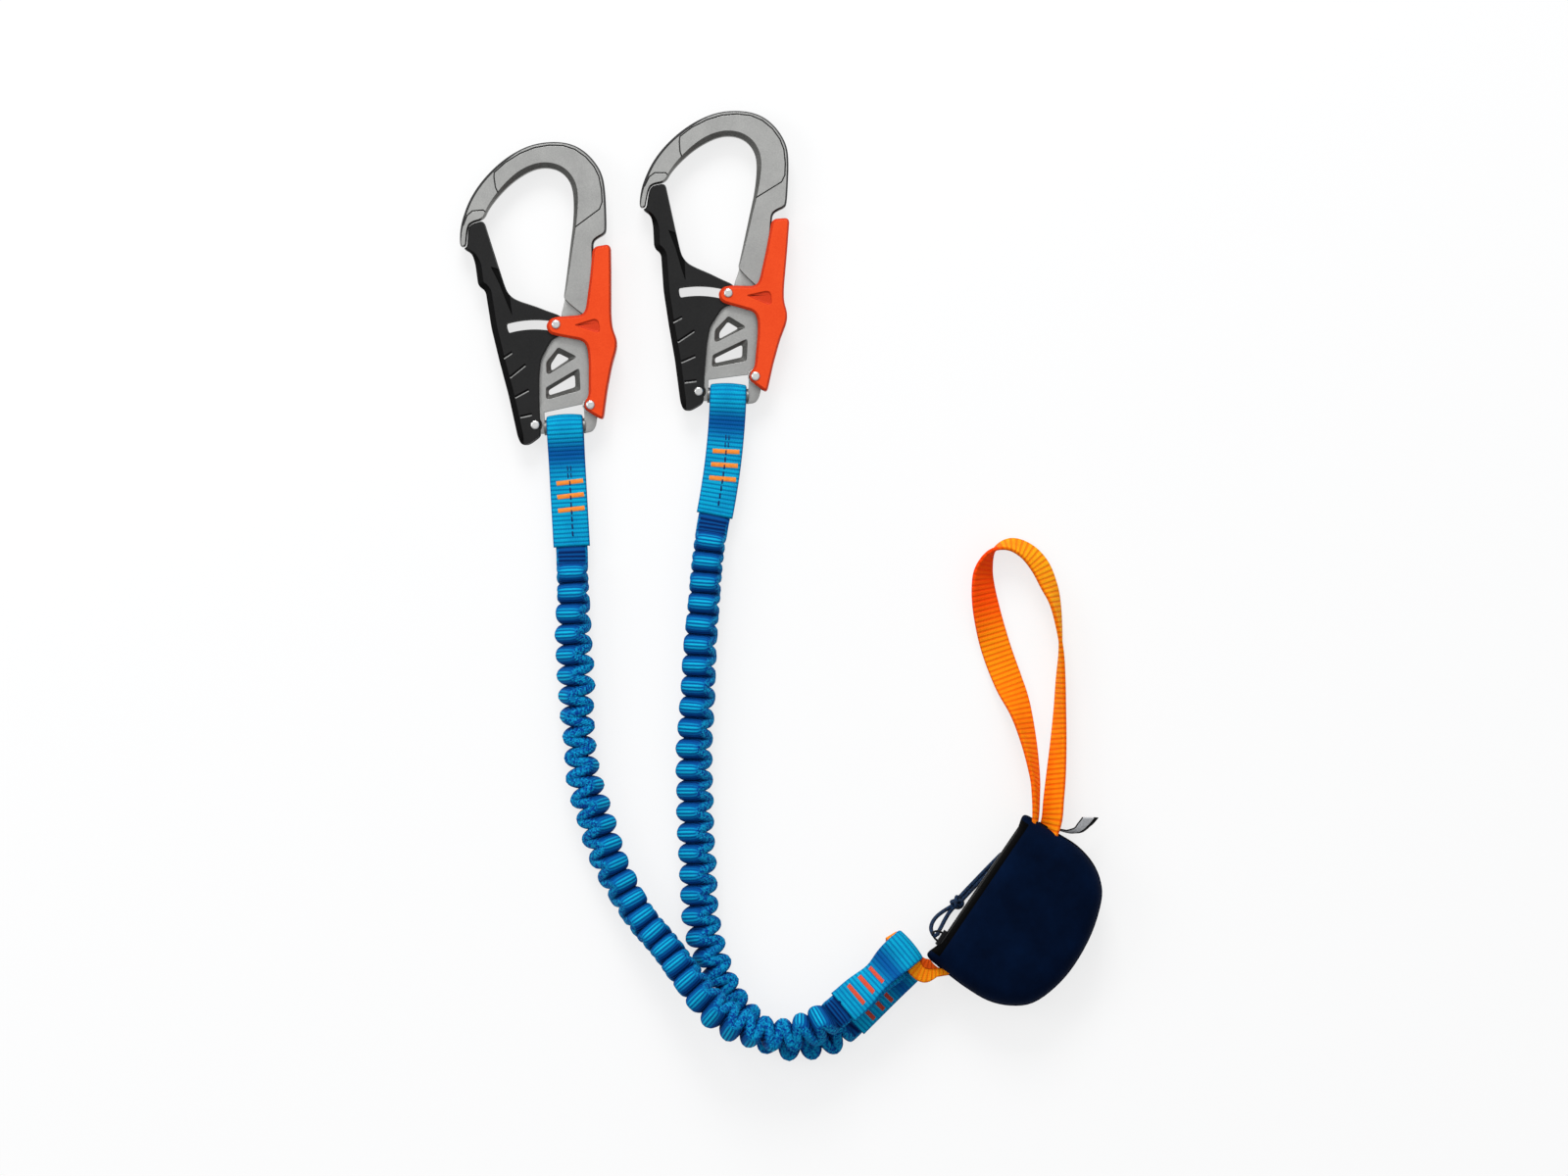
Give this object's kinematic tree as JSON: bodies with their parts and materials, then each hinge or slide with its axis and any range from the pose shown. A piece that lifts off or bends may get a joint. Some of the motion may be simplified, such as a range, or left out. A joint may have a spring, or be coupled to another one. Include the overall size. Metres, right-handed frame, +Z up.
{
  "type": "via ferrata lanyard",
  "caption": "Energy-absorbing via ferrata lanyard: palm-lock carabiners on ruffled elastic arms, a zipped absorber pouch and a webbing loop that ties into a harness.",
  "frame": {"origin": "centre of the pouch's flat underside, on the surface that the lanyard lies on", "axes": "+Z up out of the surface, +Y from the pouch towards the carabiners' hooks, +X towards the pouch's side of the arms"},
  "size_m": [0.352, 0.5214, 0.0426],
  "materials": {
    "satin_aluminium": "satin, bead blasted",
    "black_aluminium": "satin black anodised",
    "orange_lever": "satin orange anodised",
    "rivet_steel": "bright turned",
    "spring_steel": "drawn wire",
    "blue_webbing": "woven, elastic core",
    "orange_webbing": "woven",
    "navy_fabric": "padded ripstop",
    "black_tape": "woven tape with coil teeth",
    "slider_zinc": "black coated zinc",
    "grey_label": "woven label"
  },
  "bodies": {
    "webbing_and_pouch": {"left_carabiner_eye": "blue_webbing", "left_arm": "blue_webbing", "left_pouch_eye": "blue_webbing", "right_carabiner_eye": "blue_webbing", "right_arm": "blue_webbing", "right_pouch_eye": "blue_webbing", "link_loop": "orange_webbing", "tie_in_loop": "orange_webbing", "absorber_pack": "orange_webbing", "pouch_shell": "navy_fabric", "zip_chain": "black_tape", "side_tag": "grey_label"},
    "left_carabiner": {"left_carabiner_body": "satin_aluminium", "left_gate_rivet": "rivet_steel", "left_lever_rivet": "rivet_steel", "left_gate_spring": "spring_steel", "left_lever_spring": "spring_steel"},
    "left_gate_arm": {"left_gate": "black_aluminium"},
    "left_lever_arm": {"left_lock_lever": "orange_lever", "left_lock_pin": "rivet_steel"},
    "right_carabiner": {"right_carabiner_body": "satin_aluminium", "right_gate_rivet": "rivet_steel", "right_lever_rivet": "rivet_steel", "right_gate_spring": "spring_steel", "right_lever_spring": "spring_steel"},
    "right_gate_arm": {"right_gate": "black_aluminium"},
    "right_lever_arm": {"right_lock_lever": "orange_lever", "right_lock_pin": "rivet_steel"},
    "zip_runner": {"zip_slider": "slider_zinc", "zip_pull_cord": "navy_fabric"}
  },
  "joints": [
    {"name": "left_carabiner_swing", "type": "hinge", "parent": "webbing_and_pouch", "child": "left_carabiner", "pos_m": [-0.2526, 0.2695, 0.0086], "axis": [0.9984, 0.0558, 0], "range_deg": [-90, 90]},
    {"name": "left_gate_hinge", "type": "hinge", "parent": "left_carabiner", "child": "left_gate_arm", "pos_m": [-0.26886, 0.27032, 0.0086], "axis": [0, 0, -1], "range_deg": [0, 21], "stiffness_Nm_per_rad": 0.3, "springref_deg": -20.05},
    {"name": "left_lever_hinge", "type": "hinge", "parent": "left_carabiner", "child": "left_lever_arm", "pos_m": [-0.23846, 0.28126, 0.0086], "axis": [0, 0, 1], "range_deg": [0, 4], "stiffness_Nm_per_rad": 1, "springref_deg": -8.59},
    {"name": "right_carabiner_swing", "type": "hinge", "parent": "webbing_and_pouch", "child": "right_carabiner", "pos_m": [-0.163, 0.2865, 0.0086], "axis": [0.9995, -0.0314, 0], "range_deg": [-90, 90]},
    {"name": "right_gate_hinge", "type": "hinge", "parent": "right_carabiner", "child": "right_gate_arm", "pos_m": [-0.17913, 0.28873, 0.0086], "axis": [0, 0, -1], "range_deg": [0, 21], "stiffness_Nm_per_rad": 0.3, "springref_deg": -20.05},
    {"name": "right_lever_hinge", "type": "hinge", "parent": "right_carabiner", "child": "right_lever_arm", "pos_m": [-0.14789, 0.29698, 0.0086], "axis": [0, 0, 1], "range_deg": [0, 4], "stiffness_Nm_per_rad": 1, "springref_deg": -8.59},
    {"name": "zip_slide", "type": "slide", "parent": "webbing_and_pouch", "child": "zip_runner", "axis": [0.5621, 0.8271, 0], "range_m": [0, 0.072]}
  ]
}
